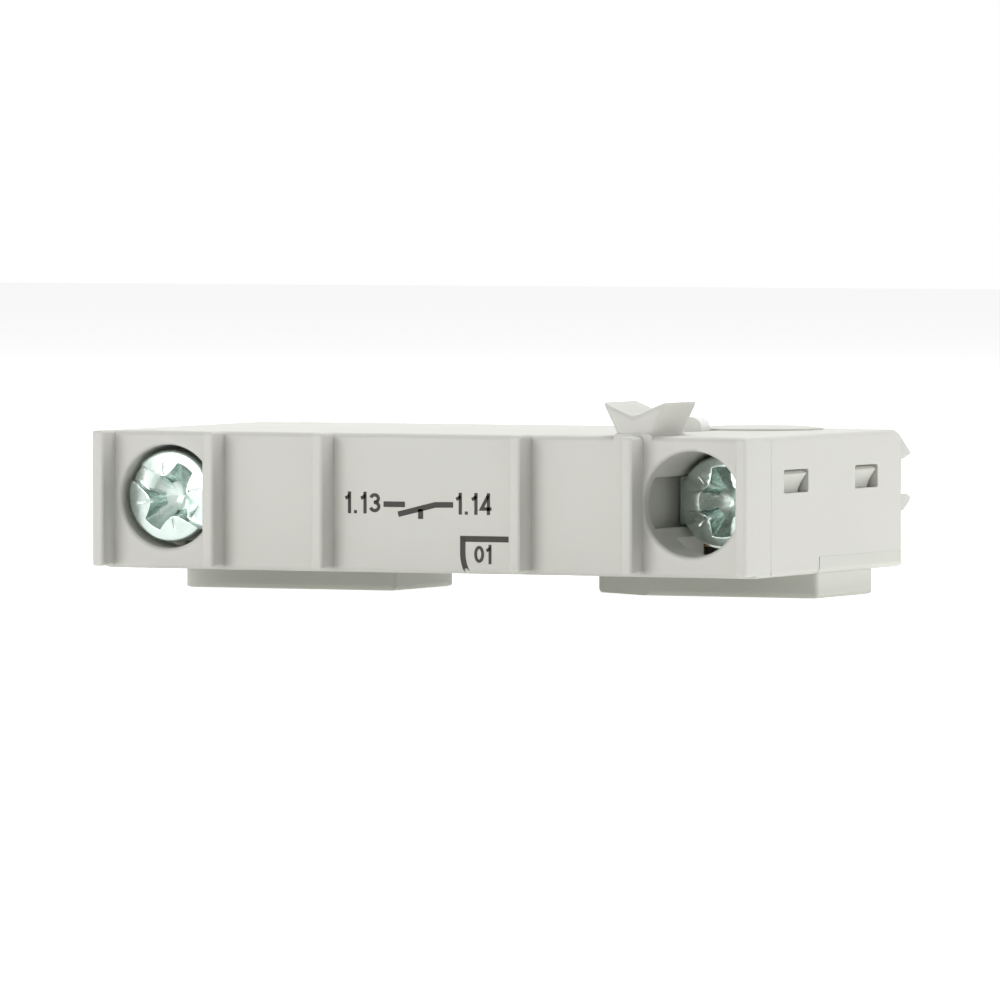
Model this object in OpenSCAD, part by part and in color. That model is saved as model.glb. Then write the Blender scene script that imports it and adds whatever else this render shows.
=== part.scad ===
// Front-fitting auxiliary contact block with one normally open contact.
// X runs along the block, Y from the ribbed front to the rear, Z up. The block stands on its two pads.

/* [Body] */
// Length of the block
body_w = 45; // [43:0.5:48]
// Height of the body without pads and horn
body_h = 8.7; // [8.6:0.1:9.6]
// Depth from the rib fronts to the rear wall
body_d = 24.6; // [24:0.2:27]
// Thickness of the front, end and rear walls
wall = 1.2; // [1.1:0.05:1.3]
// Thickness of the top wall
top_t = 0.9; // [0.7:0.05:1]
// Thickness of the bottom cover
cover_t = 1.07; // [0.9:0.01:1.1]
// Rounding of the body's long edges
edge_r = 0.4; // [0.2:0.05:0.6]

/* [Front ribs] */
// How far the ribs stand out of the front panel
rib_d = 1.7; // [1.2:0.1:2]
// Thickness of a rib
rib_w = 0.8; // [0.6:0.1:0.9]
// Rounding of a rib's front edges
rib_r = 0.25; // [0.1:0.05:0.3]
// Clear width of the middle panel
middle_panel_w = 12.8; // [11:0.1:13]
// Clear width of the two bare panels beside it
bare_panel_w = 6.8; // [6.4:0.1:7]
// How much the ribs stop short of the underside
rib_lift = 0.15; // [0.1:0.05:0.3]

/* [Horn] */
// Distance of the horn's middle from the block's end
horn_inset = 8.4; // [7.5:0.1:9.5]
// Width across the horn's wings
horn_w = 3.9; // [3.5:0.1:4.3]
// Width of the horn where it meets the top
horn_root_w = 2.1; // [1.8:0.1:2.6]
// Height of the horn over the top
horn_h = 2; // [1.6:0.1:2.4]
// Depth of the horn from the front panel
horn_d = 5.2; // [4:0.1:5.6]
// Depth of the notch between the wings
notch_h = 0.65; // [0.4:0.05:0.9]
// Flat width that is left on top of each wing
wing_flat = 0.05; // [0.05:0.05:0.4]
// Rounding of the horn's corners
horn_r = 0.25; // [0.1:0.05:0.35]

/* [Top boss] */
// Distance of the round boss from the block's end
boss_inset = 7.7; // [6.5:0.1:7.7]
// Distance of the round boss from the rib fronts
boss_y = 19.6; // [19.5:0.1:20]
// Radius of the round boss
boss_r = 4; // [3.5:0.1:4]
// Height of the round boss
boss_h = 0.22; // [0.2:0.01:0.5]
// Width of the slope round the boss's top
boss_slope = 1; // [0.6:0.1:1.2]

/* [Terminals] */
// Distance of a screw's axis from the block's end
screw_inset = 4.45; // [4.4:0.05:4.7]
// Height of a screw's axis over the body's underside
screw_z = 4.55; // [4.5:0.05:4.6]
// Diameter of the screw tunnel
tunnel_d = 6.5; // [6.4:0.05:6.6]
// Rounding of the tunnel's mouth
mouth_r = 0.3; // [0.2:0.05:0.35]
// Diameter of the screw head
head_d = 5.8; // [5.4:0.1:6]
// Height of the screw head
head_h = 2; // [1.8:0.1:2.2]
// Width of the screw's slot
slot_w = 1.2; // [0.9:0.05:1.3]
// Width of the cross recess
recess_w = 1.1; // [0.8:0.05:1.2]
// Reach of the cross recess from the screw's axis
recess_reach = 2.2; // [1.6:0.1:2.3]
// Diameter of the screw's thread
shank_d = 3.5; // [3:0.1:3.6]
// Length of the screw under its head
shank_l = 9.5; // [9:0.1:10]
// Full travel of a screw and its clamp plate
screw_travel = 4.3; // [3.8:0.1:4.4]
// Depth of the driven screw head behind the front panel
head_recess = 4.4; // [4.3:0.1:4.6]
// Thickness of the clamp plate
plate_t = 1; // [0.8:0.1:1.1]
// Height of the clamp plate's guide lug
lug_h = 3; // [2.6:0.1:3.2]
// Reach of the guide lug beyond the tunnel wall
lug_reach = 0.35; // [0.3:0.05:0.4]
// Thickness of the terminal strips
strip_t = 0.8; // [0.6:0.1:1]
// Height of a strip's contact arm
arm_h = 3.2; // [2.6:0.1:3.4]
// Thickness of the clamp nut
nut_t = 2.2; // [2:0.1:2.4]
// Side of the square clamp nut
nut_w = 5.6; // [5.2:0.1:5.7]
// Width of a wire entry
entry_w = 4.8; // [4.6:0.1:5]
// Distance of a wire entry behind the front wall
entry_set = 1.9; // [1.8:0.1:2.1]

/* [Contacts] */
// Opening between the contact tips
contact_gap = 1.8; // [1.5:0.1:2]
// Diameter of the contact tips
tip_d = 2.2; // [1.8:0.1:2.4]
// Thickness of the contact tips
tip_t = 0.6; // [0.4:0.1:0.7]
// Distance between the two contact points
tip_span = 8.4; // [8.2:0.1:8.6]
// Length of the contact bridge
bridge_l = 11; // [10.8:0.1:11.2]
// Thickness of the contact bridge
bridge_t = 0.6; // [0.4:0.1:0.8]
// Height of the contact bridge
bridge_h = 3; // [2.6:0.1:3]

/* [Actuator] */
// Width of the slide
slide_w = 5; // [4.6:0.1:5.2]
// Length of the slide's nose in front of the bridge
nose_l = 5.4; // [5:0.1:5.8]
// Length of the window that holds bridge and spring
window_l = 4.6; // [4.2:0.1:4.8]
// Length of the bar behind the window
tail_l = 1.8; // [1.6:0.1:2]
// Width of the tab on top
tab_w = 4.3; // [3.8:0.1:4.6]
// Thickness of the tab
tab_t = 1.4; // [1:0.1:1.6]
// Height of the tab over the top wall
tab_h = 0.86; // [0.6:0.02:1.2]
// How far the tab reaches out beside the slide
tab_reach = 3.15; // [2.8:0.05:3.25]
// Distance of the tab's front from the rib fronts
tab_y = 14.2; // [14:0.1:14.4]
// Wire diameter of both springs
spring_wire = 0.35; // [0.25:0.05:0.4]
// Outer diameter of the return spring
return_spring_d = 3.4; // [3:0.1:3.8]
// Outer diameter of the contact spring
contact_spring_d = 2.8; // [2.6:0.1:3]
// Turns of each spring
spring_turns = 5; // [4:1:6]

/* [Snap arms and catches] */
// Start of the front end window, from the rib fronts
front_window_y = 5.8; // [5.4:0.1:6.2]
// Start of the rear end window, from the rib fronts
rear_window_y = 16.9; // [16.4:0.1:17.2]
// Width of the front end window
front_window_w = 3.8; // [3.4:0.1:4]
// Width of the rear end window
rear_window_w = 3.6; // [3.4:0.1:4]
// Height of an end window
window_h = 1.45; // [1.3:0.05:1.6]
// Height of an end window's sill over the body's underside
window_sill = 5.15; // [4.9:0.05:5.2]
// Rounding of an end window's corners
window_r = 0.15; // [0.1:0.05:0.2]
// How far the snap arms lie behind the end faces
snap_inset = 0.64; // [0.6:0.01:0.7]
// Thickness of a snap arm
snap_t = 0.5; // [0.4:0.05:0.55]
// How far a snap ridge stands out of its arm
ridge_out = 0.54; // [0.4:0.02:0.58]
// How far a snap arm reaches over its window
snap_head = 0.4; // [0.3:0.05:0.5]
// How far the rear catches stand out
catch_out = 1.2; // [1:0.1:1.6]
// Width of a rear catch
catch_w = 3; // [2.4:0.1:4]
// Start of the upper catch's slope on the top, from the rear wall
catch_slope = 1.1; // [0.9:0.1:1.3]
// Height of the upper catch's nose over the body's underside
upper_nose_z = 7.2; // [7.1:0.05:7.4]
// Depth of the upper catch's nose
upper_catch_h = 0.4; // [0.3:0.05:0.5]
// Height of the lower catch's top over the body's underside
lower_catch_z = 4.6; // [4.5:0.05:4.7]
// Height of the lower catch
lower_catch_h = 1.05; // [0.9:0.05:1.2]

/* [Pads] */
// Height of the two pads
pad_h = 1.6; // [1.4:0.1:2]
// Length of the left pad
left_pad_l = 14.85; // [14:0.05:15.5]
// Length of the right pad
right_pad_l = 16.7; // [15.6:0.1:17.2]
// Distance of a pad from the block's end
pad_inset = 0.5; // [0.5:0.1:1]
// Start of the pads, from the rib fronts
pad_y = 12.2; // [12.2:0.1:13]
// Depth of the pads
pad_d = 8.75; // [8:0.05:9]
// Rounding of the pads' edges
pad_r = 0.35; // [0.3:0.05:0.7]
// Length of the bevel on the right pad's inner corner
bevel_l = 5.2; // [4:0.1:5.5]
// Depth of that bevel
bevel_d = 3.8; // [2.5:0.1:4]

/* [Fits] */
// Running clearance of the sliding pieces
run = 0.1; // [0.08:0.01:0.15]
// Clearance of the pieces that only seat
seat = 0.05; // [0.03:0.01:0.08]
// Clearance round a screw's thread
thread_clear = 0.05; // [0.04:0.01:0.08]
// Clearance of the tab in its slot and of the pocketed nuts
loose = 0.25; // [0.2:0.01:0.3]
// Space between the contact bridge and the right terminal's walls
bridge_gap = 0.75; // [0.7:0.05:0.8]
// Margin of a strip's arm round its contact tip
tip_margin = 0.2; // [0.15:0.05:0.3]
// Space between the left contact tip and the rail that holds the strip
rail_gap = 0.6; // [0.5:0.05:0.8]
// Space behind a snap arm, into which it bends
snap_flex = 0.16; // [0.12:0.01:0.2]

/* [Hidden] */
$fn = 48;
// Overshoot of a cut past the surface that it opens
cut = 1;
half_w = body_w / 2;
total_d = body_d + catch_out;
inner_x = half_w - wall;
front_in_y = rib_d + wall;
rear_in_y = body_d - wall;
ceiling_z = body_h - top_t;
screw_x = half_w - screw_inset;
tunnel_r = tunnel_d / 2;
groove_x = tunnel_r + lug_reach + run;
mouth_steps = [90:-15:0];
driven_y = rib_d + head_recess;
strip_y = driven_y + head_h + plate_t;
strip_back_y = strip_y + strip_t;
nut_back_y = strip_back_y + nut_t;
nut_pocket_x = nut_w / 2 + loose;
block_in_x = screw_x - groove_x - wall / 2;
block_back_y = nut_back_y + wall;
horn_x = half_w - horn_inset;
boss_x = half_w - boss_inset;
slide_x = block_in_x - bridge_gap - bridge_l / 2;
tab_end_x = slide_x + slide_w / 2 + tab_reach;
shank_end_y = driven_y + head_h + shank_l;
fixed_tip_y = strip_back_y;
bridge_tip_y = fixed_tip_y + tip_t + contact_gap;
bridge_y = bridge_tip_y + tip_t;
window_y = bridge_y - seat;
window_end_y = window_y + window_l;
nose_y = window_y - nose_l;
tail_y = window_end_y + tail_l;
slide_bottom_z = cover_t + run;
slide_top_z = ceiling_z - run;
slide_travel = contact_gap - seat;
left_tip_x = slide_x - tip_span / 2;
right_tip_x = slide_x + tip_span / 2;
arm_over = tip_d / 2 + tip_margin;
// The cover closes the rear part of the nut pockets
nut_cover = 0.8;
seam_y = nut_back_y - nut_cover;
snap_x = half_w - snap_inset;
snap_groove_x = snap_x - snap_t - snap_flex;
arm_top_z = window_sill + window_h + snap_head;
entry_y = front_in_y + entry_set;
spring_boss_l = 0.8;
// How far the guides of the slide run forward beside the terminal blocks
guide_lap = 2;
// How far the lug's groove starts before the front wall's inner face
groove_lead = 0.3;
// Grip grooves of a clamp plate: their place as a share of its radius, and half their width
grip_place = 0.75;
grip_half = 0.15;
screw_angle_left = 32.7;

// Helpers

// Moves everything from the rib fronts and the body's underside to the part's own origin
module placed() {
    translate([0, -total_d / 2, pad_h]) children();
}

// Extrudes a (Y, Z) outline along X
module along_x(x0, x1) {
    translate([x0, 0, 0]) rotate([90, 0, 90]) linear_extrude(x1 - x0) children();
}

// Extrudes an (X, Z) outline along Y
module along_y(y0, y1) {
    translate([0, y1, 0]) rotate([90, 0, 0]) linear_extrude(y1 - y0) children();
}

// A round bar or hole along Y
module bar_y(r, y0, y1, x = 0, z = screw_z) {
    along_y(y0, y1) translate([x, z]) circle(r);
}

// A body of revolution about an axis along Y, its outline given as (radius, depth)
module turned_y(x, y, z = screw_z) {
    translate([x, y, z]) rotate([-90, 0, 0]) rotate_extrude() children();
}

// A box given by its two corners
module box(low, high) {
    translate(low) cube(high - low);
}

// A rectangle with rounded corners, its low corner at the origin
module rounded(w, h, r) {
    translate([r, 0]) square([w - 2 * r, h]);
    translate([0, r]) square([w, h - 2 * r]);
    for (x = [r, w - r], y = [r, h - r]) translate([x, y]) circle(r, $fn = 32);
}

// A box whose long edges are rounded, given by its two corners
module soft_box(low, high, r) {
    size = high - low;
    translate(low) intersection() {
        along_x(0, size.x) rounded(size.y, size.z, r);
        along_y(0, size.y) rounded(size.x, size.z, r);
        linear_extrude(size.z) rounded(size.x, size.y, r);
    }
}

// Repeats on both ends, with $side = -1 on the left and 1 on the right
module both_ends() {
    for (s = [-1, 1]) {
        $side = s;
        if (s > 0) children();
        else mirror([1, 0, 0]) children();
    }
}

// Main housing

module body_envelope() {
    soft_box([-half_w, rib_d, 0], [half_w, body_d, body_h], edge_r);
}

module front_ribs() {
    second = middle_panel_w / 2 + rib_w + bare_panel_w;
    starts = [middle_panel_w / 2, second, half_w - rib_w];
    both_ends() for (x = starts)
        soft_box([x, 0, rib_lift], [x + rib_w, rib_d + wall, body_h], rib_r);
}

// Forked horn: slanted sides, a shallow notch between two softened wings and a small fillet at its root
module horn() {
    top_z = body_h + horn_h;
    side = horn_w / 2;
    root = horn_root_w / 2;
    outline = [
        [root + horn_r, body_h - edge_r], [root + horn_r, body_h], [root + horn_r / 3, body_h + horn_r / 3],
        [root + horn_r / 3, body_h + horn_r], [side, top_z - horn_r],
        [side - horn_r / 3, top_z - horn_r / 3], [side - horn_r, top_z],
        [side - horn_r - wing_flat, top_z], [0, top_z - notch_h]
    ];
    last = len(outline) - 1;
    other_half = [for (i = [1:last]) [-outline[last - i].x, outline[last - i].y]];
    along_y(rib_d, rib_d + horn_d) translate([horn_x, 0]) polygon(concat(outline, other_half));
}

// Height of the upper catch's slope at the distance d behind the rear wall
function slope_z(d) = body_h - (d + catch_slope) * (body_h - upper_nose_z) / (catch_slope + catch_out);

// The upper catch's slope starts on the top, so the body's rear corner is cut along it
module slope_cuts() {
    both_ends() along_x(half_w - catch_w, half_w + cut) translate([body_d, 0]) polygon([
        [-catch_slope, body_h], [cut, slope_z(cut)], [cut, body_h + cut], [-catch_slope, body_h + cut]
    ]);
}

// Two catches at each end of the rear wall, with their holding faces towards each other
module rear_catches() {
    blunt = catch_out / 10;
    both_ends() along_x(half_w - catch_w, half_w) translate([body_d, 0]) {
        polygon([
            [-seat, slope_z(-seat)], [catch_out, upper_nose_z], [catch_out - blunt, upper_nose_z - blunt],
            [0, upper_nose_z - upper_catch_h], [-seat, upper_nose_z - upper_catch_h]
        ]);
        polygon([
            [-seat, lower_catch_z], [catch_out / 2, lower_catch_z], [catch_out, lower_catch_z - 2 * blunt],
            [catch_out - 2 * blunt, lower_catch_z - lower_catch_h / 2], [0, lower_catch_z - lower_catch_h],
            [-seat, lower_catch_z - lower_catch_h]
        ]);
    }
}

// Flat round boss with a sloping border
module top_boss() {
    translate([boss_x, boss_y, body_h]) rotate_extrude() polygon([
        [0, -seat], [boss_r, -seat], [boss_r, boss_h / 2], [boss_r - boss_slope, boss_h], [0, boss_h]
    ]);
}

// Solid block round the screw tunnel and, behind it, round the screw's end
module terminal_block() {
    box([block_in_x, front_in_y - seat, cover_t], [inner_x + seat, block_back_y, ceiling_z + seat]);
    shank_block = shank_d / 2 + wall;
    box([screw_x - shank_block, block_back_y - seat, cover_t],
        [screw_x + shank_block, shank_end_y + wall, ceiling_z + seat]);
}

// Everything that the screw, its clamp plate, the strip and the nut need at one end
module terminal_cuts() {
    bar_y(tunnel_r, rib_d, strip_y, screw_x);
    turned_y(screw_x, rib_d) polygon(concat(
        [[0, mouth_r], [0, -mouth_r / 3], [tunnel_r + mouth_r, -mouth_r / 3]],
        [for (b = mouth_steps) [tunnel_r + mouth_r * (1 - cos(b)), mouth_r * (1 - sin(b))]]
    ));
    box([screw_x - groove_x, front_in_y - groove_lead, screw_z - lug_h / 2 - run],
        [screw_x, strip_y, screw_z + lug_h / 2 + run]);
    box([screw_x - entry_w / 2, entry_y, -cut], [screw_x + entry_w / 2, strip_y, screw_z]);
    box([screw_x - nut_pocket_x, strip_y, -cut],
        [screw_x + nut_pocket_x, nut_back_y + seat, screw_z + nut_pocket_x]);
    bar_y(shank_d / 2 + loose, nut_back_y, shank_end_y + loose, screw_x);
}

// Slot in which a strip's contact arm lies, open to the bottom for assembly
module arm_slot(x0, x1) {
    box([x0, strip_y - seat, -cut], [x1, strip_back_y + seat, screw_z + arm_h / 2 + seat]);
}

module window_cut(y, w) {
    box([snap_groove_x, y, -cut], [snap_x + 2 * seat, y + w, arm_top_z + 2 * seat]);
    along_x(snap_x - snap_t, half_w + cut) translate([y, window_sill]) rounded(w, window_h, window_r);
}

// Space for the bottom cover: flush at the rear, let in between the ends at the front
module cover_space(gap) {
    box([-half_w - cut, seam_y - gap, -cut], [half_w + cut, body_d + cut, cover_t]);
    box([-inner_x - gap, front_in_y - seat, -cut], [inner_x + gap, seam_y, cover_t]);
}

module tab_slot() {
    box([tab_end_x - tab_w - loose, tab_y - slide_travel - loose, ceiling_z - cut],
        [tab_end_x + loose, tab_y + tab_t + loose, body_h + cut]);
}

module main_housing() {
    strip_rail_end = left_tip_x - tip_d / 2 - rail_gap;
    color("#cfd0c6") placed() difference() {
        union() {
            difference() {
                union() {
                    body_envelope();
                    front_ribs();
                    horn();
                    rear_catches();
                    top_boss();
                }
                box([-inner_x, front_in_y, -cut], [inner_x, rear_in_y, ceiling_z]);
            }
            both_ends() terminal_block();
            box([-block_in_x - seat, strip_y - wall / 2, cover_t],
                [strip_rail_end, strip_back_y + wall / 2, ceiling_z + seat]);
            box([slide_x - slide_w, tail_y + seat, cover_t],
                [slide_x + slide_w, tail_y + wall, ceiling_z + seat]);
            bar_y(return_spring_d / 2 - spring_wire - run, front_in_y - seat,
                front_in_y + spring_boss_l, slide_x);
        }
        slope_cuts();
        both_ends() {
            terminal_cuts();
            window_cut(front_window_y, front_window_w);
            window_cut(rear_window_y, rear_window_w);
        }
        arm_slot(-screw_x, left_tip_x + arm_over);
        arm_slot(right_tip_x - arm_over, screw_x);
        cover_space(seat);
        tab_slot();
    }
}

// Bottom cover

// Snap arm whose three-sided ridge stands in an end window
module snap_arm(y, w) {
    z0 = window_sill + seat;
    z1 = window_sill + window_h - seat;
    ridge_z = z1 - ridge_out / 2;
    along_y(y + 2 * run, y + w - 2 * run) polygon([
        [snap_x - snap_t, cover_t - seat], [snap_x, cover_t - seat], [snap_x, (z0 + z1) / 2],
        [snap_x + ridge_out, ridge_z], [snap_x, z1], [snap_x, arm_top_z - snap_t / 2],
        [snap_x - snap_t / 2, arm_top_z], [snap_x - snap_t, arm_top_z]
    ]);
    box([inner_x - wall, y + 2 * run, 0], [snap_x, y + w - 2 * run, cover_t]);
}

module pad(x0, x1) {
    soft_box([x0, pad_y, -pad_h], [x1, pad_y + pad_d, cover_t / 2], pad_r);
}

module pads() {
    outer = half_w - pad_inset;
    inner = outer - right_pad_l;
    pad(-outer, -outer + left_pad_l);
    difference() {
        pad(inner, outer);
        translate([0, 0, -pad_h - cut]) linear_extrude(pad_h + 2 * cut) polygon([
            [inner - cut, pad_y - cut], [inner + bevel_l, pad_y - cut], [inner + bevel_l, pad_y],
            [inner, pad_y + bevel_d], [inner - cut, pad_y + bevel_d]
        ]);
    }
}

module slide_guides() {
    for (s = [-1, 1]) {
        x = slide_x + s * (slide_w / 2 + run + wall / 4);
        box([x - wall / 4, block_back_y - guide_lap, cover_t - seat],
            [x + wall / 4, tail_y, cover_t + wall]);
    }
}

module bottom_cover() {
    color("#c4c6bb") placed() difference() {
        union() {
            intersection() {
                body_envelope();
                cover_space(-seat);
            }
            pads();
            slide_guides();
            both_ends() {
                snap_arm(front_window_y, front_window_w);
                snap_arm(rear_window_y, rear_window_w);
            }
        }
        both_ends() box([screw_x - entry_w / 2, entry_y, -cut],
            [screw_x + entry_w / 2, strip_y, cover_t + cut]);
    }
}

// Actuator slide

module actuator_slide() {
    x0 = slide_x - slide_w / 2;
    x1 = slide_x + slide_w / 2;
    window_z = bridge_h / 2 + run;
    arm_z = screw_z + window_z + wall / 2;
    spigot_r = contact_spring_d / 2 - spring_wire - run;
    tab_r = tab_h * 3 / 4;
    color("#e6e4da") placed() {
        difference() {
            box([x0, nose_y, slide_bottom_z], [x1, tail_y, slide_top_z]);
            box([x0 - cut, window_y, screw_z - window_z], [x1 + cut, window_end_y, screw_z + window_z]);
        }
        bar_y(return_spring_d / 2 - spring_wire - run, nose_y - 2 * spring_boss_l, nose_y + seat, slide_x);
        bar_y(spigot_r, window_end_y - window_l / 3, window_end_y + seat, slide_x);
        box([x1 - seat, tab_y, arm_z], [tab_end_x, tab_y + tab_t, slide_top_z]);
        along_y(tab_y, tab_y + tab_t) {
            translate([tab_end_x - tab_w, slide_top_z - seat])
                square([tab_w, body_h - slide_top_z + seat + tab_h - tab_r]);
            translate([tab_end_x - tab_w + tab_r, slide_top_z - seat])
                square([tab_w - 2 * tab_r, body_h - slide_top_z + seat + tab_h]);
            for (x = [tab_end_x - tab_w + tab_r, tab_end_x - tab_r])
                translate([x, body_h + tab_h - tab_r]) circle(tab_r);
        }
    }
}

// Contact bridge and tips

module contact_bridge() {
    color("#b98a4e") placed() along_y(bridge_y, bridge_y + bridge_t)
        translate([slide_x - bridge_l / 2, screw_z - bridge_h / 2])
            rounded(bridge_l, bridge_h, bridge_h / 6);
}

// Round contact tip with a softened edge, its flat back at y and its face towards way
module contact_tip(x, y, way) {
    r = tip_d / 2;
    soft = tip_t / 4;
    color("#d8d9d6") placed() turned_y(x, y)
        polygon([[0, 0], [r, 0], [r, way * (tip_t - soft)], [r - soft, way * tip_t], [0, way * tip_t]]);
}

// Coil spring along Y from y0 to y1, swept as a tube of eight sides along its helix
module coil_spring(d, y0, y1, turns) {
    sides = 8;
    steps = 14;
    rings = turns * steps;
    r = (d - spring_wire) / 2;
    wire = spring_wire / 2;
    rise = (y1 - y0 - spring_wire) / rings;
    points = [for (i = [0:rings], k = [0:sides - 1])
        let (a = 360 * i / steps, b = 360 * k / sides, q = r + wire * cos(b))
        [q * cos(a), y0 + wire + rise * i + wire * sin(b), q * sin(a)]];
    faces = [for (i = [0:rings - 1], k = [0:sides - 1])
        let (m = (k + 1) % sides) [i * sides + k, i * sides + m, (i + 1) * sides + m, (i + 1) * sides + k]];
    start = [for (k = [sides - 1:-1:0]) k];
    end = [for (k = [0:sides - 1]) rings * sides + k];
    translate([slide_x, 0, screw_z]) polyhedron(points, concat([start], faces, [end]));
}

module contact_spring() {
    color("#a9adb0") placed() coil_spring(contact_spring_d, bridge_y + bridge_t + seat, window_end_y - seat,
        spring_turns);
}

module return_spring() {
    color("#a9adb0") placed() coil_spring(return_spring_d, front_in_y + seat, nose_y - seat,
        spring_turns);
}

// Terminals

// Square end plate behind the screw and the contact arm that runs from it to end_x
module terminal_strip(side, end_x) {
    plate = nut_w + 0.2;
    x = side * screw_x;
    color("#c08f4f") placed() difference() {
        along_y(strip_y, strip_back_y) {
            translate([x - plate / 2, screw_z - plate / 2]) square([plate, plate]);
            translate([min(x, end_x), screw_z - arm_h / 2]) square([abs(x - end_x), arm_h]);
        }
        bar_y(shank_d / 2 + 3 * thread_clear, strip_y - cut, strip_back_y + cut, x);
    }
}

module clamp_nut(side) {
    color("#b9bdbb") placed() difference() {
        translate([side * screw_x - nut_w / 2, strip_back_y, screw_z - nut_w / 2])
            cube([nut_w, nut_t, nut_w]);
        bar_y(shank_d / 2 + thread_clear, strip_back_y - cut, nut_back_y + cut, side * screw_x);
    }
}

// Round captive plate with one guide lug on its inner side and two grip grooves
module clamp_plate(side, out) {
    r = tunnel_r - 4 * run;
    x = side * screw_x;
    y = strip_y - plate_t - out;
    reach = tunnel_r + lug_reach;
    color("#b9bdbb") placed() difference() {
        along_y(y, y + plate_t) {
            translate([x, screw_z]) circle(r);
            translate([x - (side + 1) / 2 * reach, screw_z - lug_h / 2]) square([reach, lug_h]);
        }
        bar_y(shank_d / 2 + 2 * thread_clear, y - cut, y + plate_t + cut, x);
        for (s = [-1, 1])
            translate([x, y, screw_z + s * grip_place * r])
                box([-r, 0.8 * plate_t, -grip_half], [r, plate_t + cut, grip_half]);
    }
}

// Screw with a slightly domed head, a slot and a cross recess; angle turns the slot
module terminal_screw(side, out, angle) {
    soft = head_h / 8;
    r = head_d / 2;
    recess_d = 0.7 * head_h;
    color("#bcc4c2") placed() translate([side * screw_x, driven_y - out, screw_z]) rotate([0, angle, 0])
        difference() {
            rotate([-90, 0, 0]) rotate_extrude() polygon([
                [0, 0], [r / 2, soft / 4], [r - soft, soft / 2], [r, 1.5 * soft], [r, head_h],
                [shank_d / 2, head_h], [shank_d / 2, head_h + shank_l - soft],
                [shank_d / 2 - soft, head_h + shank_l], [0, head_h + shank_l]
            ]);
            box([-r - cut, -cut, -slot_w / 2], [r + cut, head_h / 2, slot_w / 2]);
            box([-recess_reach, -cut, -recess_w / 2], [recess_reach, recess_d, recess_w / 2]);
            box([-recess_w / 2, -cut, -recess_reach], [recess_w / 2, recess_d, recess_reach]);
        }
}

main_housing();
bottom_cover();
actuator_slide();
contact_bridge();
contact_tip(left_tip_x, bridge_y, -1);  // bridge_tip_left
contact_tip(right_tip_x, bridge_y, -1);  // bridge_tip_right
contact_spring();
return_spring();
terminal_strip(-1, left_tip_x + arm_over);  // terminal_strip_left
terminal_strip(1, right_tip_x - arm_over);  // terminal_strip_right
contact_tip(left_tip_x, fixed_tip_y, 1);  // fixed_tip_left
contact_tip(right_tip_x, fixed_tip_y, 1);  // fixed_tip_right
clamp_nut(-1);  // clamp_nut_left
clamp_nut(1);  // clamp_nut_right
clamp_plate(-1, screw_travel);  // clamp_plate_left
clamp_plate(1, 0);  // clamp_plate_right
terminal_screw(-1, screw_travel, screw_angle_left);  // terminal_screw_left
terminal_screw(1, 0, 0);  // terminal_screw_right
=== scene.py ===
import math

import bmesh
import bpy
import numpy as np
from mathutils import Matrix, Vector


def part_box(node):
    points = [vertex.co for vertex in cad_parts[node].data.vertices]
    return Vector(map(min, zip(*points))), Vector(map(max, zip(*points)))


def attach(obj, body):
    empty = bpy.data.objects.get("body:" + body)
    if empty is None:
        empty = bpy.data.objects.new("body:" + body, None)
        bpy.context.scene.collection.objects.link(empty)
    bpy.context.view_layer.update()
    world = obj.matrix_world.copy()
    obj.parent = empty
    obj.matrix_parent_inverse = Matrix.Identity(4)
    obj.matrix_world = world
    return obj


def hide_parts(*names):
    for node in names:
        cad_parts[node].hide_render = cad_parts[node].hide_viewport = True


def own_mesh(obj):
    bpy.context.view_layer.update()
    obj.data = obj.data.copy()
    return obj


# Auxiliary contact block in a white studio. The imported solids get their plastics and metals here.
# The terminal screws, the forked horn, some small mouldings and the print are added as meshes.
# Shapes are written in millimetres and scaled by mm, and everything in the scene is in metres.

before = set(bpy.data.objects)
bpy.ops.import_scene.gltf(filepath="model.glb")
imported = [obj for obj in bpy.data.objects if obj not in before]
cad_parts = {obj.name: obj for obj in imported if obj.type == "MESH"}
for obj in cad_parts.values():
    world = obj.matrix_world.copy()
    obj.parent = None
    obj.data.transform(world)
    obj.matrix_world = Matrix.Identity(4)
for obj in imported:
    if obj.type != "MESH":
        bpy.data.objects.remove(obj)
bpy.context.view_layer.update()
mm = 0.001


# Colours and nodes

# Splits an sRGB hex value into channels and undoes the sRGB curve: c / 12.92 below 0.04045, and
# ((c + 0.055) / 1.055) to the power 2.4 above.
def linearColour(hexText):
    channels = np.array([int(hexText[i:i + 2], 16) for i in (1, 3, 5)]) / 255
    low = channels / 12.92
    high = ((channels + 0.055) / 1.055) ** 2.4
    return (*np.where(channels <= 0.04045, low, high).tolist(), 1.0)


# Adds one node. Settings are properties or socket values; links give each input its source.
def addNode(tree, kind, settings=None, links=None):
    node = tree.nodes.new(kind)
    for name, value in (settings or {}).items():
        if isinstance(name, str) and hasattr(node, name) and name not in node.inputs:
            setattr(node, name, value)
        else:
            node.inputs[name].default_value = value
    for name, socket in (links or {}).items():
        tree.links.new(socket, node.inputs[name])
    return node


# A material whose node tree is empty.
def newMaterial(name):
    material = bpy.data.materials.new(name)
    material.use_nodes = True
    material.node_tree.nodes.clear()
    return material, material.node_tree


# Gives the whole object one material.
def dress(obj, material):
    obj.data.materials.clear()
    obj.data.materials.append(material)


# Plastics

plasticLook = {
    "grainMm": 0.11,         # grain left by spark erosion of the mould, drawn coarser than real
    "grainDepthMm": 0.006,
    "grainStrength": 0.35,
    "flowMm": 5.0,           # slow change of gloss where the melt flowed
    "glossLess": 0.04,       # how far the roughness falls and rises with the flow
    "glossMore": 0.05,
    "edgeMm": 0.07,          # the mould's smallest radius on edges that are sharp in the solids
    "bodyMm": 0.35,          # how deep light goes into the plastic
}


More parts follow.
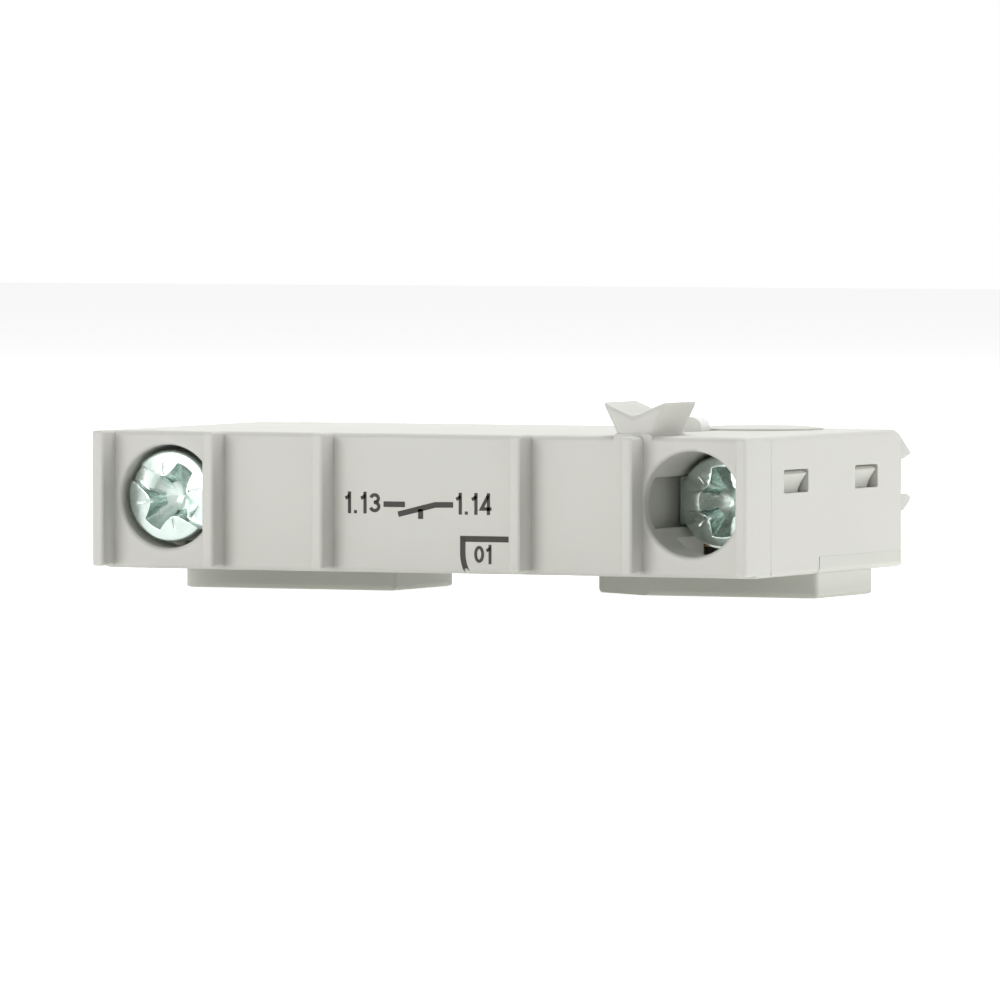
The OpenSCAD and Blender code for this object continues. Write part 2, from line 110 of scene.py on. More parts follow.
# Moulded in a spark-eroded tool: even and satin to the eye, soft at the edges, and a little light
# goes in, which keeps its shadows from going black.
def mouldedPlastic(name, tintHex, shadeHex, roughness, look=plasticLook):
    material, tree = newMaterial(name)
    place = addNode(tree, "ShaderNodeTexCoord").outputs["Object"]
    flow = addNode(tree, "ShaderNodeTexNoise",
                   {"Scale": 1 / (look["flowMm"] * mm), "Detail": 2.0}, {"Vector": place})
    grain = addNode(tree, "ShaderNodeTexNoise",
                    {"Scale": 1 / (look["grainMm"] * mm), "Detail": 3.0, "Roughness": 0.6},
                    {"Vector": place})
    tint = addNode(tree, "ShaderNodeMix",
                   {"data_type": "RGBA", 6: linearColour(shadeHex), 7: linearColour(tintHex)},
                   {0: flow.outputs["Fac"]})
    gloss = addNode(tree, "ShaderNodeMapRange",
                    {"From Min": 0.3, "From Max": 0.7, "To Min": roughness - look["glossLess"],
                     "To Max": roughness + look["glossMore"]}, {"Value": flow.outputs["Fac"]})
    soft = addNode(tree, "ShaderNodeBevel", {"samples": 6, "Radius": look["edgeMm"] * mm})
    bump = addNode(tree, "ShaderNodeBump",
                   {"Strength": look["grainStrength"], "Distance": look["grainDepthMm"] * mm},
                   {"Height": grain.outputs["Fac"], "Normal": soft.outputs["Normal"]})
    skin = addNode(tree, "ShaderNodeBsdfPrincipled",
                   {"IOR": 1.53, "Subsurface Weight": 0.08, "Subsurface Radius": (1.0, 0.9, 0.7),
                    "Subsurface Scale": look["bodyMm"] * mm},
                   {"Base Color": tint.outputs[2], "Roughness": gloss.outputs["Result"],
                    "Normal": bump.outputs["Normal"]})
    addNode(tree, "ShaderNodeOutputMaterial", None, {"Surface": skin.outputs["BSDF"]})
    return material


# Metals

metalLook = {"driftMm": 1.3, "reliefMm": 0.004, "edgeMm": 0.04, "glossLeast": 0.7, "glossMost": 1.3}


# Rolled, drawn or plated metal: bright, with a tone that drifts slowly, and marks that may be
# stretched one way, so that its reflections are broken and not mirror-clean.
def rolledMetal(name, baseHex, toneHex, roughness, grainMm, along=(1.0, 1.0, 1.0), bump=0.15,
                look=metalLook):
    material, tree = newMaterial(name)
    place = addNode(tree, "ShaderNodeTexCoord").outputs["Object"]
    turned = addNode(tree, "ShaderNodeMapping", {"Scale": along}, {"Vector": place})
    marks = addNode(tree, "ShaderNodeTexNoise",
                    {"Scale": 1 / (grainMm * mm), "Detail": 4.0, "Roughness": 0.65},
                    {"Vector": turned.outputs["Vector"]})
    drift = addNode(tree, "ShaderNodeTexNoise",
                    {"Scale": 1 / (look["driftMm"] * mm), "Detail": 1.0}, {"Vector": place})
    tone = addNode(tree, "ShaderNodeMix",
                   {"data_type": "RGBA", 6: linearColour(toneHex), 7: linearColour(baseHex)},
                   {0: drift.outputs["Fac"]})
    gloss = addNode(tree, "ShaderNodeMapRange",
                    {"From Min": 0.25, "From Max": 0.75, "To Min": roughness * look["glossLeast"],
                     "To Max": roughness * look["glossMost"]}, {"Value": marks.outputs["Fac"]})
    soft = addNode(tree, "ShaderNodeBevel", {"samples": 6, "Radius": look["edgeMm"] * mm})
    relief = addNode(tree, "ShaderNodeBump",
                     {"Strength": bump, "Distance": look["reliefMm"] * mm},
                     {"Height": marks.outputs["Fac"], "Normal": soft.outputs["Normal"]})
    skin = addNode(tree, "ShaderNodeBsdfPrincipled", {"Metallic": 1.0},
                   {"Base Color": tone.outputs[2], "Roughness": gloss.outputs["Result"],
                    "Normal": relief.outputs["Normal"]})
    addNode(tree, "ShaderNodeOutputMaterial", None, {"Surface": skin.outputs["BSDF"]})
    return material


# Pad-printed ink: near black and matt, a few microns thick, with a slightly uneven cover.
inkLook = {"coverMm": 0.15, "thinHex": "#35302a", "fullHex": "#2b2722", "roughness": 0.62}


def markingInk(look=inkLook):
    material, tree = newMaterial("padPrintedInk")
    place = addNode(tree, "ShaderNodeTexCoord").outputs["Object"]
    cover = addNode(tree, "ShaderNodeTexNoise",
                    {"Scale": 1 / (look["coverMm"] * mm), "Detail": 3.0}, {"Vector": place})
    tone = addNode(tree, "ShaderNodeMix",
                   {"data_type": "RGBA", 6: linearColour(look["thinHex"]),
                    7: linearColour(look["fullHex"])}, {0: cover.outputs["Fac"]})
    skin = addNode(tree, "ShaderNodeBsdfPrincipled",
                   {"IOR": 1.5, "Roughness": look["roughness"]}, {"Base Color": tone.outputs[2]})
    addNode(tree, "ShaderNodeOutputMaterial", None, {"Surface": skin.outputs["BSDF"]})
    return material


housingPlastic = mouldedPlastic("housingMouldedPolyamide", "#cdcdc7", "#cacac3", 0.5)
coverPlastic = mouldedPlastic("coverMouldedPolyamide", "#cccdc5", "#c8c9c1", 0.5)
slidePlastic = mouldedPlastic("slideMouldedAcetal", "#f2f2ee", "#eeeee9", 0.42)
zincSteel = rolledMetal("zincPlatedPassivatedSteel", "#cdd8d3", "#adbab5", 0.24, 0.45, bump=0.6)
stripBrass = rolledMetal("rolledStripBrass", "#b08f5e", "#9a7b50", 0.3, 0.5, (0.1, 1.0, 1.0),
                         bump=0.3)
tipSilver = rolledMetal("pressedContactSilver", "#e4e4e0", "#d3d3ce", 0.34, 0.12)
springWire = rolledMetal("drawnSpringSteel", "#b4b7b9", "#9ea2a5", 0.28, 0.2)
printInk = markingInk()
print("materials made")

nodeFinish = {
    "main_housing": housingPlastic, "bottom_cover": coverPlastic,
    "actuator_slide": slidePlastic, "contact_bridge": stripBrass,
    "terminal_strip_left": stripBrass, "terminal_strip_right": stripBrass,
    "bridge_tip_left": tipSilver, "bridge_tip_right": tipSilver,
    "fixed_tip_left": tipSilver, "fixed_tip_right": tipSilver,
    "contact_spring": springWire, "return_spring": springWire,
    "clamp_nut_left": zincSteel, "clamp_nut_right": zincSteel,
    "clamp_plate_left": zincSteel, "clamp_plate_right": zincSteel,
    "terminal_screw_left": zincSteel, "terminal_screw_right": zincSteel,
}
for nodeName, material in nodeFinish.items():
    dress(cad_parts[nodeName], material)


# Meshes

# A new object from an array of points and a list of faces.
def meshFrom(name, points, faces):
    mesh = bpy.data.meshes.new(name)
    mesh.from_pydata(points.tolist(), [], faces)
    mesh.validate()
    mesh.update()
    obj = bpy.data.objects.new(name, mesh)
    bpy.context.scene.collection.objects.link(obj)
    return obj


# Quads between neighbouring rows and columns of a grid whose columns close on themselves.
def gridFaces(rows, columns, offset=0):
    r, c = np.meshgrid(np.arange(rows - 1), np.arange(columns), indexing="ij")
    nextC = (c + 1) % columns
    quads = np.stack([r * columns + c, (r + 1) * columns + c,
                      (r + 1) * columns + nextC, r * columns + nextC], -1)
    return (quads.reshape(-1, 4) + offset).tolist()


# The caps that close such a grid: its first row, and its last one the other way round.
def capFaces(rows, columns, offset=0):
    last = offset + (rows - 1) * columns
    return [list(range(offset, offset + columns)), list(range(last, last + columns))[::-1]]


# A skin through rings of equal length, rings[i, j] = point j of ring i, with a cap at each end.
def closedTube(name, rings):
    rows, columns, _ = rings.shape
    obj = meshFrom(name, rings.reshape(-1, 3), gridFaces(rows, columns) + capFaces(rows, columns))
    turnOutwards(obj)
    return obj


# Merges points that lie on one another and turns every face outwards.
def turnOutwards(obj, reach=1e-7):
    shape = bmesh.new()
    shape.from_mesh(obj.data)
    bmesh.ops.remove_doubles(shape, verts=shape.verts, dist=reach)
    bmesh.ops.recalc_face_normals(shape, faces=shape.faces)
    shape.to_mesh(obj.data)
    shape.free()


# Bakes the modifiers into the mesh, so that the piece is plain geometry afterwards.
def useModifiers(obj):
    view = bpy.context.evaluated_depsgraph_get()
    made = bpy.data.meshes.new_from_object(obj.evaluated_get(view))
    obj.modifiers.clear()
    obj.data = made


# Takes each cutter's volume out of the body and removes the cutter.
def cutAway(body, cutters):
    for cutter in cutters:
        bite = body.modifiers.new(cutter.name, "BOOLEAN")
        bite.operation, bite.solver, bite.object = "DIFFERENCE", "EXACT", cutter
        useModifiers(body)
        bpy.data.objects.remove(cutter)


# Replaces each edge that turns by more than the given angle by a rounded strip of that width.
def softenEdges(obj, widthMm, segments, degrees):
    soft = obj.modifiers.new("softEdges", "BEVEL")
    soft.width, soft.segments, soft.limit_method = widthMm * mm, segments, "ANGLE"
    soft.angle_limit, soft.use_clamp_overlap = math.radians(degrees), True
    useModifiers(obj)


# Smooth faces, with the edges that turn by more than the given angle kept sharp.
def shadeByAngle(obj, degrees):
    smooth = np.ones(len(obj.data.polygons), bool)
    obj.data.polygons.foreach_set("use_smooth", smooth)
    shape = bmesh.new()
    shape.from_mesh(obj.data)
    limit = math.radians(degrees)
    for edge in shape.edges:
        edge.smooth = len(edge.link_faces) == 2 and edge.calc_face_angle(0.0) < limit
    shape.to_mesh(obj.data)
    shape.free()


# Terminal screws

screwShape = {
    "headMm": 5.8, "headHeightMm": 2.0, "domeMm": 0.22, "rimMm": 0.25, "chamferMm": 0.12,
    "shankMm": 3.5, "neckMm": 0.1, "lengthMm": 9.5, "tipMm": 0.5, "tipTaperMm": 0.4,
    "threadDepthMm": 0.36, "toothShare": 0.9, "pitchMm": 0.6, "ringsPerPitch": 8,
    "plainMm": 0.3, "runInMm": 0.5, "spokes": 120,
    "slotWidthMm": 1.2, "slotDepthMm": 0.8,
    # depth below the face, reach of the wings and their width, as a driver's tip narrows
    "recess": [(-0.3, 2.3, 1.16), (0.0, 2.2, 1.1), (0.525, 2.05, 1.05), (1.155, 1.45, 0.95),
               (1.68, 0.9, 0.8), (2.1, 0.225, 0.33)],
    "cornerRoundness": 1.35, "recessSpokes": 144, "reachLimit": 1.02,
    "tickFromMm": 1.45, "tickToMm": 2.1, "tickWidthMm": 0.14, "tickDepthMm": 0.2,
    "tickTurns": (45, 135, 225, 315),
    "cutterAboveMm": 0.3, "softMm": 0.055, "softDegrees": 38, "smoothDegrees": 34,
}


# Radius by depth and angle: a domed head, then a shank whose radius rises and falls with depth
# minus pitch times the share of a turn, which makes a helical thread.
def screwBlank(name, s=screwShape):
    angle = np.linspace(0, 2 * np.pi, s["spokes"], endpoint=False)
    headR, headZ = s["headMm"] / 2, s["headHeightMm"]
    t = np.linspace(0, 1, 9)[1:]
    face = np.stack([t * (headR - s["rimMm"]), s["domeMm"] * t ** 2], -1)
    bend = np.linspace(0, np.pi / 2, 6)[1:]
    rim = np.stack([headR - s["rimMm"] * (1 - np.sin(bend)),
                    s["domeMm"] + s["rimMm"] * (1 - np.cos(bend))], -1)
    under = np.array([[headR, headZ - s["chamferMm"]], [headR - s["chamferMm"], headZ],
                      [s["shankMm"] / 2 + s["neckMm"], headZ]])
    head = np.concatenate([face, rim, under])
    steps = int(s["lengthMm"] / s["pitchMm"] * s["ringsPerPitch"])
    depth = headZ + s["neckMm"] + np.linspace(0, s["lengthMm"] - s["neckMm"], steps)
    run = depth[:, None] - s["pitchMm"] * angle[None, :] / (2 * np.pi)
    tooth = np.abs((run / s["pitchMm"] % 1) * 2 - 1)
    fade = np.clip((headZ + s["lengthMm"] - depth) / s["tipMm"], 0, 1)[:, None]
    rise = np.clip((depth - headZ - s["plainMm"]) / s["runInMm"], 0, 1)[:, None]
    radius = (s["shankMm"] / 2 - s["threadDepthMm"] * (1 - tooth * s["toothShare"]) * rise
              - s["tipTaperMm"] * (1 - fade))
    rings = np.zeros((len(head) + steps, s["spokes"], 3))
    rings[:len(head), :, 0] = head[:, :1] * np.cos(angle)
    rings[:len(head), :, 2] = head[:, :1] * np.sin(angle)
    rings[:len(head), :, 1] = head[:, 1:]
    rings[len(head):, :, 0] = radius * np.cos(angle)
    rings[len(head):, :, 2] = radius * np.sin(angle)
    rings[len(head):, :, 1] = depth[:, None]
    return closedTube(name, rings * mm)


# Radius of a cross by angle: two bars' radii a and b joined as (a^p + b^p)^(1/p), which rounds
# the inner corners, and held within the reach.
def crossOutline(reach, width, s=screwShape):
    spokes, p = s["recessSpokes"], s["cornerRoundness"]
    angle = np.linspace(0, 2 * np.pi, spokes, endpoint=False) + np.pi / spokes
    across, up = np.abs(np.cos(angle)), np.abs(np.sin(angle))
    flat = np.minimum(reach / across, width / 2 / up)
    upright = np.minimum(reach / up, width / 2 / across)
    radius = (flat ** p + upright ** p) ** (1 / p)
    radius = np.minimum(radius, reach * s["reachLimit"])
    return np.stack([radius * np.cos(angle), radius * np.sin(angle)], -1)


# Carries the cross outline inwards through the levels of the recess.
def crossCutter(s=screwShape):
    rings = []
    for depth, reach, width in s["recess"]:
        outline = crossOutline(reach, width)
        rings.append(np.stack([outline[:, 0], np.full(len(outline), depth), outline[:, 1]], -1))
    return closedTube("crossCutter", np.array(rings) * mm)


# A bar cut into the head's face, given by its ends along X, then turned about the screw's axis.
def barCutter(name, fromX, toX, width, depth, turn=0.0, above=screwShape["cutterAboveMm"]):
    section = ((fromX, -width / 2), (toX, -width / 2), (toX, width / 2), (fromX, width / 2))
    corners = np.array([[x, y, z] for y in (-above, depth) for x, z in section])
    a = math.radians(turn)
    spin = np.array([[math.cos(a), 0, math.sin(a)], [0, 1, 0], [-math.sin(a), 0, math.cos(a)]])
    return closedTube(name, (corners @ spin.T).reshape(2, 4, 3) * mm)


# The blank with its slot, cross recess and four ticks cut out, softened, turned by the slot's
# angle, and set where the solid has its head.
def terminalScrew(node, body, slotTurn, s=screwShape):
    screw = screwBlank(node + "_threaded")
    reach = s["headMm"]
    cutters = [barCutter("slotCutter", -reach, reach, s["slotWidthMm"], s["slotDepthMm"]),
               crossCutter()]
    for turn in s["tickTurns"]:
        cutters.append(barCutter(f"tickCutter{turn}", s["tickFromMm"], s["tickToMm"],
                                 s["tickWidthMm"], s["tickDepthMm"], turn))
    cutAway(screw, cutters)
    softenEdges(screw, s["softMm"], 2, s["softDegrees"])
    low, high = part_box(node)
    a = math.radians(slotTurn)
    points = np.empty(len(screw.data.vertices) * 3)
    screw.data.vertices.foreach_get("co", points)
    points = points.reshape(-1, 3)
    turned = np.stack([points[:, 0] * math.cos(a) + points[:, 2] * math.sin(a), points[:, 1],
                       points[:, 2] * math.cos(a) - points[:, 0] * math.sin(a)], -1)
    turned += np.array([(low.x + high.x) / 2, low.y, (low.z + high.z) / 2])
    screw.data.vertices.foreach_set("co", turned.ravel())
    screw.data.update()
    shadeByAngle(screw, s["smoothDegrees"])
    dress(screw, zincSteel)
    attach(screw, body)
    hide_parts(node)
    print(f"{node}: {len(screw.data.polygons)} faces")


terminalScrew("terminal_screw_left", "left_screw", 32.7)
terminalScrew("terminal_screw_right", "right_screw", 0.0)


# The forked horn, on a copy of the housing

hornShape = {
    "middleX": 14.1, "frontY": -11.19, "backY": -6.0, "topZ": 12.5, "wingX": 2.24,
    "notchZ": 11.56, "rootX": 0.72, "rootZ": 9.55, "cutZ": 10.46, "marginMm": 0.3,
    "sideMarginMm": 0.2, "softMm": 0.42, "softSegments": 6, "softDegrees": 20,
    "smoothDegrees": 40,
}
housingFinish = {"weldMm": 0.0002, "smoothDegrees": 24}


# The horn's five-cornered outline carried along Y, with every edge rounded. Its root stands
# inside the housing.
def forkedHorn(h=hornShape):
    outline = np.array([(h["rootX"], h["rootZ"]), (h["wingX"], h["topZ"]), (0, h["notchZ"]),
                        (-h["wingX"], h["topZ"]), (-h["rootX"], h["rootZ"])])
    rings = [np.stack([outline[:, 0] + h["middleX"], np.full(len(outline), y),
                       outline[:, 1]], -1) for y in (h["frontY"], h["backY"])]
    horn = closedTube("forked_horn", np.array(rings) * mm)
    softenEdges(horn, h["softMm"], h["softSegments"], h["softDegrees"])
    shadeByAngle(horn, h["smoothDegrees"])
    dress(horn, housingPlastic)
    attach(horn, "block")


# The housing's copy, merged, with its plain horn cut away just above the root.
def housingMoulding(h=hornShape, finish=housingFinish):
    housing = bpy.data.objects.new("housing_moulding",
                                   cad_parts["main_housing"].data.copy())
    bpy.context.scene.collection.objects.link(housing)
    shape = bmesh.new()
    shape.from_mesh(housing.data)
    bmesh.ops.remove_doubles(shape, verts=shape.verts, dist=finish["weldMm"] * mm)
    shape.to_mesh(housing.data)
    shape.free()
    reach = h["wingX"] + h["sideMarginMm"]
    xLow, xHigh = h["middleX"] - reach, h["middleX"] + reach
    yLow, yHigh = h["frontY"] - h["marginMm"], h["backY"] + h["marginMm"]
    plan = ((xLow, yLow), (xHigh, yLow), (xHigh, yHigh), (xLow, yHigh))
    corners = np.array([[x, y, z] for z in (h["cutZ"], h["topZ"] + h["marginMm"])
                        for x, y in plan])
    cutAway(housing, [closedTube("hornCutter", corners.reshape(2, 4, 3) * mm)])
    shadeByAngle(housing, finish["smoothDegrees"])
    dress(housing, housingPlastic)
    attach(housing, "block")
    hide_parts("main_housing")
    print(f"housing: {len(housing.data.polygons)} faces")


forkedHorn()
housingMoulding()


# Small mouldings

# Several closed prisms as one piece: each is an outline carried straight from one end to the
# other.
def prisms(name, pairs, material, smoothDegrees=35):
    points, faces, count = [], [], 0
    for first, last in pairs:
        columns = len(first)
        points += [first, last]
        faces += gridFaces(2, columns, count) + capFaces(2, columns, count)
        count += 2 * columns
    piece = meshFrom(name, np.concatenate(points) * mm, faces)
    turnOutwards(piece)
    shadeByAngle(piece, smoothDegrees)
    dress(piece, material)
    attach(piece, "block")


noseShape = {
    "armX": 21.86, "lowZ": 6.77, "noseZ": 7.9, "topZ": 8.14, "outMm": 0.58, "power": 1.6,
    "insideMm": 0.1, "tipMm": 0.03, "tipRiseMm": 0.05, "backMm": 0.2,
    "windows": ((-6.92, -3.48), (4.18, 7.42)),
}


# The snap ridge's outline by height: from the sill a hollow ramp that stands out by the nose's
# length times u to the power 1.6, then back to the arm.
def snapNoses(n=noseShape):
    u = np.linspace(0, 1, 13)
    ramp = np.stack([n["outMm"] * u ** n["power"],
                     n["lowZ"] + (n["noseZ"] - n["lowZ"]) * u], -1)
    outline = np.concatenate([[(-n["insideMm"], n["lowZ"])], ramp,
                              [(n["outMm"] - n["tipMm"], n["noseZ"] + n["tipRiseMm"]),
                               (n["backMm"], n["topZ"]), (-n["insideMm"], n["topZ"])]])
    pairs = []
    for side in (-1, 1):
        for window in n["windows"]:
            pairs.append([np.stack([side * (n["armX"] + outline[:, 0]),
                                    np.full(len(outline), y), outline[:, 1]], -1)
                          for y in window])
    prisms("snap_noses", pairs, coverPlastic)


catchRootShape = {
    "endX": 22.5, "rearY": 11.7, "cornerMm": 0.4, "insideMm": 0.003, "overlapMm": 0.01,
    # height from, height to at the rear wall, and how much higher it is per mm to the front
    "catches": ((8.4, 9.58, 0.652), (5.15, 6.2, 0.0)),
}


# Fills the housing's rounded rear corner beside each catch, so that the catch and the end wall
# are one surface. In plan it lies between the corner's arc and the two walls' planes.
def catchRoots(c=catchRootShape):
    turn = np.linspace(0, np.pi / 2, 7)
    radius = c["cornerMm"] - c["overlapMm"]
    arcX = c["endX"] - c["cornerMm"] + radius * np.cos(turn)
    arcY = c["rearY"] - c["cornerMm"] + radius * np.sin(turn)
    wallX = c["endX"] - c["insideMm"]
    plan = np.concatenate([[(wallX, c["rearY"] - c["cornerMm"]), (wallX, c["rearY"])],
                           np.stack([arcX, arcY], -1)[::-1]])
    pairs = []
    for side in (-1, 1):
        for low, high, slope in c["catches"]:
            top = high + (c["rearY"] - plan[:, 1]) * slope
            pairs.append([np.stack([side * plan[:, 0], plan[:, 1], z], -1)
                          for z in (np.full(len(plan), low), top)])
    prisms("catch_roots", pairs, housingPlastic)


partingShape = {
    "endX": 22.5, "y": -9.0, "widthMm": 0.16, "proudMm": 0.007, "sunkMm": 0.01,
    "fromZ": 1.75, "toZ": 10.0, "points": 7,
}


# The fine ridge that the mould's parting leaves on both ends: half an ellipse in section.
def partingLines(q=partingShape):
    turn = np.linspace(0, np.pi, q["points"])
    pairs = []
    for side in (-1, 1):
        x = side * (q["endX"] - q["sunkMm"] + (q["proudMm"] + q["sunkMm"]) * np.sin(turn))
        y = q["y"] + q["widthMm"] / 2 * np.cos(turn)
        pairs.append([np.stack([x, y, np.full(q["points"], z)], -1)
                      for z in (q["fromZ"], q["toZ"])])
    prisms("parting_lines", pairs, housingPlastic)


snapNoses()
catchRoots()
partingLines()
print("mouldings made")


# Return spring


# A copy of the spring in drawn spring wire, carried with the block in place of the imported one.
def returnSpring():
    coil = bpy.data.objects.new("return_spring_coil",
                                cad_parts["return_spring"].data.copy())
    bpy.context.scene.collection.objects.link(coil)
    dress(coil, springWire)
    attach(coil, "block")
    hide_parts("return_spring")
    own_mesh(coil)


returnSpring()


# Print on the middle panel: strokes laid on the panel as thin raised ribbons

printShape = {
    "panelBehindRibsMm": 1.7, "edgeRoundMm": 0.4, "undersideZ": 1.6, "inkMm": 0.012,
    "sunkMm": 0.02, "sharpest": 0.5,
    # text, start x, base z, height and stroke
    "rows": [("1.13", -5.66, 5.27, 1.36, 0.22), ("1.14", 1.98, 5.29, 1.36, 0.22),
             ("01", 3.32, 2.24, 1.2, 0.2)],
    "advance": {".": 0.29, "1": 0.5, "0": 0.62, "3": 0.62, "4": 0.64}, "pointStrokeMm": 0.2,
    # the symbol of a contact that makes: fixed lead, moving arm and the link to what moves it
    "symbol": [[[-2.94, 5.87], [-1.46, 5.87]], [[-1.93, 5.25], [0.62, 5.87], [1.86, 5.89]],
               [[-0.38, 5.6], [-0.38, 4.98]]], "symbolStrokeMm": 0.35,
    # the open frame round the lower number: a bar, and a leg that bends near its end
    "barEnd": [5.66, 3.79], "legX": 2.52, "legEndZ": 1.68, "bendMm": 0.36, "bendFromZ": 2.9,
    "bendLengthMm": 1.3, "frameStrokeMm": 0.37,
}
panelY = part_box("main_housing")[0].y / mm + printShape["panelBehindRibsMm"]


# Points of an elliptical arc, angles in degrees from +X towards +Z.
def arc(cx, cz, rx, rz, start, end, points=14):
    a = np.radians(np.linspace(start, end, points))
    return np.stack([cx + rx * np.cos(a), cz + rz * np.sin(a)], -1)


# Centre lines of a digit in a cell 1 high; widths follow a narrow sans-serif face.
def digitStrokes(digit):
    if digit == "0":
        return [arc(0.27, 0.5, 0.2, 0.43, 90, 450, 40)]
    if digit == "1":
        return [np.array([[0.06, 0.74], [0.2, 0.8], [0.27, 0.93]]),
                np.array([[0.27, 1.0], [0.27, 0.0]])]
    if digit == "3":
        return [np.concatenate([arc(0.26, 0.73, 0.19, 0.2, 168, -80),
                                arc(0.26, 0.29, 0.21, 0.22, 80, -165)])]
    if digit == "4":
        return [np.array([[0.55, 0.23], [0.05, 0.23], [0.39, 0.96]]),
                np.array([[0.4, 1.0], [0.4, 0.0]])]
    return [np.array([[0.0, 0.075], [0.15, 0.075]])]


# The panel is flat, and near its lower edge it runs back along a quarter circle of radius r:
# y = panel + r - sqrt(r^2 - d^2), d being the depth below the circle's start.
def panelSurface(z, p=printShape):
    r = p["edgeRoundMm"]
    below = np.clip(p["undersideZ"] + r - z, 0, r)
    return panelY + r - np.sqrt(r * r - below * below)


# Carries a rectangle along the path: each point moves to both sides along the mean normal, by
# half the width over the cosine of half the turn, which keeps the width even in the corners.
def ribbon(path, width, p=printShape):
    run = np.diff(path, axis=0)
    run /= np.linalg.norm(run, axis=1, keepdims=True)
    closed = np.allclose(path[0], path[-1])
    before = np.concatenate([run[-1:] if closed else run[:1], run])
    after = np.concatenate([run, run[:1] if closed else run[-1:]])
    side = np.stack([-before[:, 1], before[:, 0]], -1)
    mitre = side + np.stack([-after[:, 1], after[:, 0]], -1)
    mitre /= np.linalg.norm(mitre, axis=1, keepdims=True)
    mitre *= width / 2 / np.clip((mitre * side).sum(-1, keepdims=True), p["sharpest"], 1)
    left, right = path + mitre, path - mitre
    rows = []
    for flat, out in ((left, -p["inkMm"]), (right, -p["inkMm"]), (right, p["sunkMm"]),
                      (left, p["sunkMm"])):
        rows.append(np.stack([flat[:, 0], panelSurface(flat[:, 1]) + out, flat[:, 1]], -1))
    return np.stack(rows, 1)


# Every stroke as a path in X and Z with its width: the numbers, the symbol and the frame.
def printStrokes(p=printShape):
    strokes = []
    for text, startX, baseZ, height, stroke in p["rows"]:
        x = startX
        inner = stroke / height / 2
        for digit in text:
            for line in digitStrokes(digit):
                fitted = line.copy()
                if len(line) > 2:
                    fitted[:, 1] = inner + line[:, 1] * (1 - 2 * inner)
                strokes.append((fitted * height + np.array([x, baseZ]),
                                stroke if digit != "." else p["pointStrokeMm"]))
            x += p["advance"][digit] * height
    for path in p["symbol"]:
        strokes.append((np.array(path), p["symbolStrokeMm"]))
    legZ = np.linspace(p["barEnd"][1], p["legEndZ"], 24)
    bend = np.clip((p["bendFromZ"] - legZ) / p["bendLengthMm"], 0, 1)
    leg = np.stack([p["legX"] + p["bendMm"] * bend ** 2, legZ], -1)
    strokes.append((np.concatenate([[p["barEnd"]], leg]), p["frameStrokeMm"]))
    return strokes


# All the strokes as one piece.
def terminalPrint():
    strokes = printStrokes()
    points, faces, count = [], [], 0
    for path, width in strokes:
        rings = ribbon(path, width)
        rows, columns, _ = rings.shape
        points.append(rings.reshape(-1, 3))
        faces += gridFaces(rows, columns, count)
        if not np.allclose(path[0], path[-1]):
            faces += capFaces(rows, columns, count)
        count += rows * columns
    marks = meshFrom("terminal_numbers_and_symbol", np.concatenate(points) * mm, faces)
    turnOutwards(marks)
    dress(marks, printInk)
    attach(marks, "block")
    print(f"print: {len(strokes)} strokes")


terminalPrint()


# Camera: the photo's viewing angle, found by fitting a pinhole camera to the block's corners

photoView = {
    "azimuth": 25.0, "elevation": 1.86, "distanceMm": 753.8, "lensMm": 432.0, "sensorMm": 36.0,
    "aimMm": (1.2, -2.9, 5.94), "nearM": 0.01, "farM": 20.0,
}
turnRad, liftRad = math.radians(photoView["azimuth"]), math.radians(photoView["elevation"])
towardsCamera = Vector((math.sin(turnRad) * math.cos(liftRad),
                        -math.cos(turnRad) * math.cos(liftRad), math.sin(liftRad)))
camera = bpy.data.objects.new("photoCamera", bpy.data.cameras.new("photoCamera"))
camera.data.lens, camera.data.sensor_width = photoView["lensMm"], photoView["sensorMm"]
camera.data.clip_start, camera.data.clip_end = photoView["nearM"], photoView["farM"]
camera.location = (Vector(photoView["aimMm"]) + towardsCamera * photoView["distanceMm"]) * mm
camera.rotation_euler = towardsCamera.to_track_quat("Z", "Y").to_euler()
bpy.context.scene.collection.objects.link(camera)
bpy.context.scene.camera = camera


# Studio: a light table, a pale surround, and four softboxes, places and sizes in metres

studio = {
    "surroundLevel": 0.15, "surroundSeen": 1.0, "tableGlow": 0.3, "tableSeen": 0.8,
    "tableHex": "#efefee", "tableMm": 2400, "tableZMm": -0.02, "aim": (0, 0, 0.005),
    # name, place, size and watts
    "lamps": [("frontSoftbox", (-0.14, -0.46, 0.16), 0.24, 1.05),
              ("topSoftbox", (0.0, 0.16, 0.42), 0.26, 1.45),
              ("rightSoftbox", (0.42, 0.10, 0.12), 0.24, 0.8),
              ("backSoftbox", (-0.36, 0.3, 0.14), 0.24, 0.8)],
}

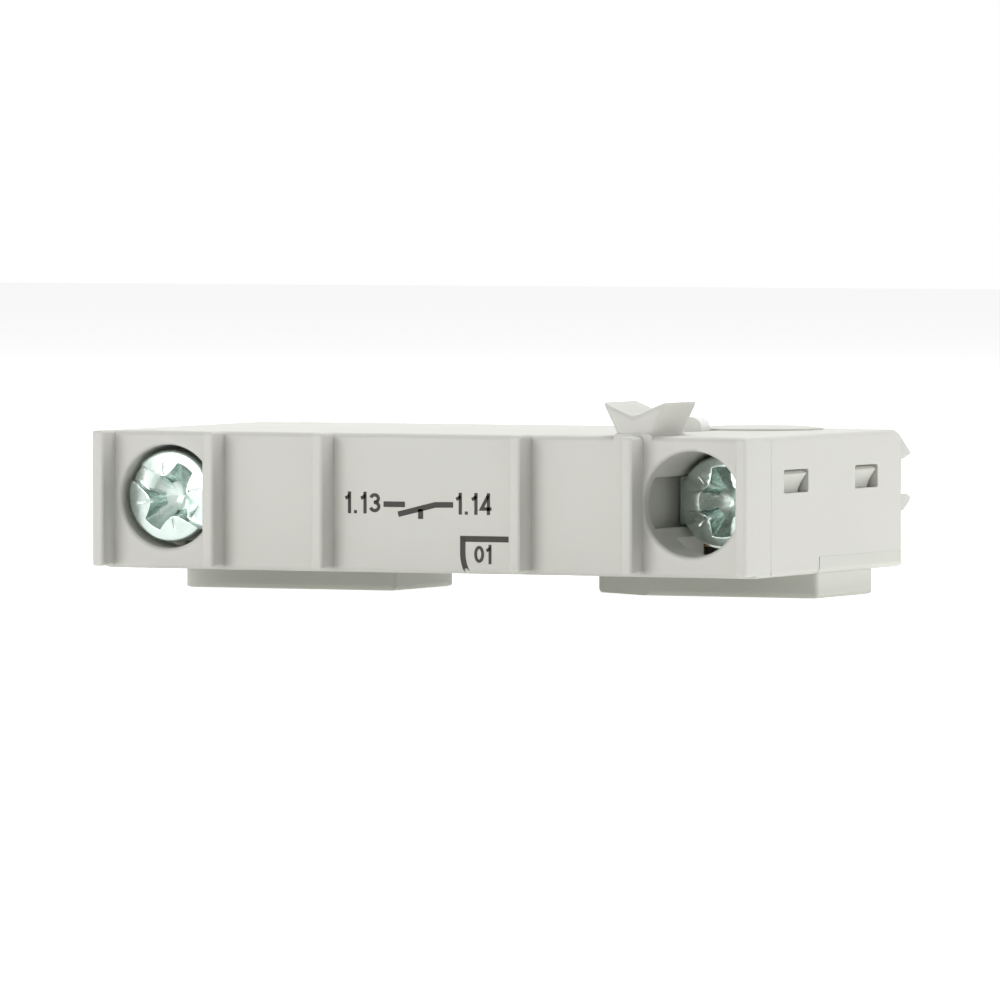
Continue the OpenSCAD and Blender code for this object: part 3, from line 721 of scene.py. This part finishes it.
for name, place, size, watts in studio["lamps"]:
    light = bpy.data.lights.new(name, "AREA")
    light.shape, light.size, light.energy = "SQUARE", size, watts
    holder = bpy.data.objects.new(name, light)
    holder.location = place
    sight = Vector(place) - Vector(studio["aim"])
    holder.rotation_euler = sight.to_track_quat("Z", "Y").to_euler()
    bpy.context.scene.collection.objects.link(holder)


# A strength that is one value for light that falls on things, and another where the camera
# looks at it, straight or by way of a gloss or a glass.
def strengthBySight(tree, lighting, seen):
    rays = addNode(tree, "ShaderNodeLightPath").outputs
    straight = addNode(tree, "ShaderNodeMath", {"operation": "MAXIMUM"},
                       {0: rays["Is Camera Ray"], 1: rays["Is Glossy Ray"]})
    anyWay = addNode(tree, "ShaderNodeMath", {"operation": "MAXIMUM"},
                     {0: straight.outputs[0], 1: rays["Is Transmission Ray"]})
    return addNode(tree, "ShaderNodeMapRange", {"To Min": lighting, "To Max": seen},
                   {"Value": anyWay.outputs[0]}).outputs["Result"]


world = bpy.data.worlds.new("whiteSurround")
bpy.context.scene.world = world
world.use_nodes = True
world.node_tree.nodes.clear()
surround = strengthBySight(world.node_tree, studio["surroundLevel"], studio["surroundSeen"])
glow = addNode(world.node_tree, "ShaderNodeBackground", {"Color": (1, 1, 1, 1)},
               {"Strength": surround})
addNode(world.node_tree, "ShaderNodeOutputWorld", None, {"Surface": glow.outputs["Background"]})

tableCorners = np.array([[-1, -1, 0], [1, -1, 0], [1, 1, 0], [-1, 1, 0]]) * studio["tableMm"] / 2
tableCorners[:, 2] = studio["tableZMm"]
lightTable = meshFrom("lightTable", tableCorners * mm, [[0, 1, 2, 3]])
opal, opalTree = newMaterial("opalAcrylicTable")
opalSkin = addNode(opalTree, "ShaderNodeBsdfDiffuse", {"Color": linearColour(studio["tableHex"])})
tableLight = strengthBySight(opalTree, studio["tableGlow"], studio["tableSeen"])
opalGlow = addNode(opalTree, "ShaderNodeEmission", {"Color": (1, 1, 1, 1)},
                   {"Strength": tableLight})
opalSum = addNode(opalTree, "ShaderNodeAddShader", None,
                  {0: opalSkin.outputs["BSDF"], 1: opalGlow.outputs["Emission"]})
addNode(opalTree, "ShaderNodeOutputMaterial", None, {"Surface": opalSum.outputs["Shader"]})
dress(lightTable, opal)

bpy.context.scene.view_settings.view_transform = "Standard"
print("studio made")
